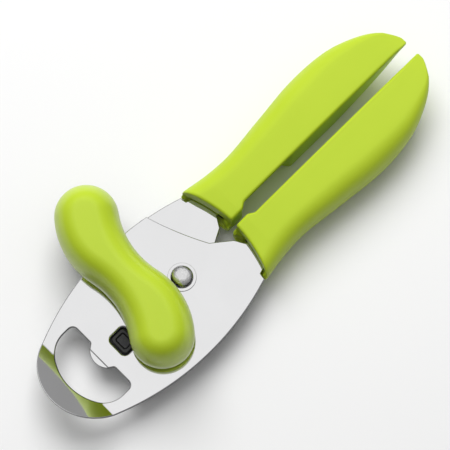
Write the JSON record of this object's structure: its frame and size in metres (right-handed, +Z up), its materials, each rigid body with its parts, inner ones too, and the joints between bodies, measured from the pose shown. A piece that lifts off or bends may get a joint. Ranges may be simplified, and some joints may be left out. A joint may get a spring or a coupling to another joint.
{
  "type": "can opener",
  "caption": "Pliers-type can opener: pivoted steel plates with long moulded grips, a cutting wheel and a toothed feed wheel turned by a lobed knob, a bottle opening and a lid magnet.",
  "frame": {"origin": "under the middle of the whole part's box, on the plane it rests on", "axes": "+X runs along the opener from the bottle opening to the grips' ends, +Y runs across it from the right grip to the left grip, and +Z is up, out of the front plate on the knob's side"},
  "size_m": [0.2024, 0.0842, 0.0356],
  "materials": {
    "plated_steel": "polished",
    "hard_steel": "satin",
    "zinc_steel": "satin",
    "green_grip": "satin",
    "green_knob": "gloss",
    "black_plastic": "gloss",
    "dark_core": "matte",
    "magnet": "matte"
  },
  "bodies": {
    "front_half": {"front_plate": "plated_steel", "pivot_rivet": "plated_steel", "pivot_washer": "plated_steel", "pivot_spacer": "zinc_steel", "pivot_tail_washer": "zinc_steel", "shaft_bushing": "zinc_steel", "magnet_holder": "black_plastic", "lid_magnet": "magnet", "right_grip": "green_grip", "right_grip_core": "dark_core", "right_tang_pins": "zinc_steel"},
    "rear_half": {"rear_plate": "plated_steel", "left_grip": "green_grip", "left_grip_core": "dark_core", "left_tang_pins": "zinc_steel", "cutter_axle": "zinc_steel", "cutter_washer": "zinc_steel"},
    "crank": {"knob_shell": "green_knob", "knob_cover": "black_plastic", "knob_hub": "black_plastic", "knob_washer": "black_plastic", "drive_shaft": "zinc_steel", "feed_wheel": "hard_steel", "feed_spring_washer": "zinc_steel", "feed_wheel_nut": "zinc_steel"},
    "cutter": {"cutting_wheel": "hard_steel"}
  },
  "joints": [
    {"name": "squeeze", "type": "hinge", "parent": "front_half", "child": "rear_half", "pos_m": [-0.03014, -0.01284, 0.0085], "axis": [0, 0, 1], "range_deg": [-2.4, 36]},
    {"name": "turn_knob", "type": "hinge", "parent": "front_half", "child": "crank", "pos_m": [-0.04694, 0.00216, 0.01], "axis": [0, 0, 1], "continuous": true},
    {"name": "cutter_spin", "type": "hinge", "parent": "rear_half", "child": "cutter", "pos_m": [-0.05064, -0.01402, 0.0045], "axis": [0, 0, 1], "continuous": true}
  ]
}
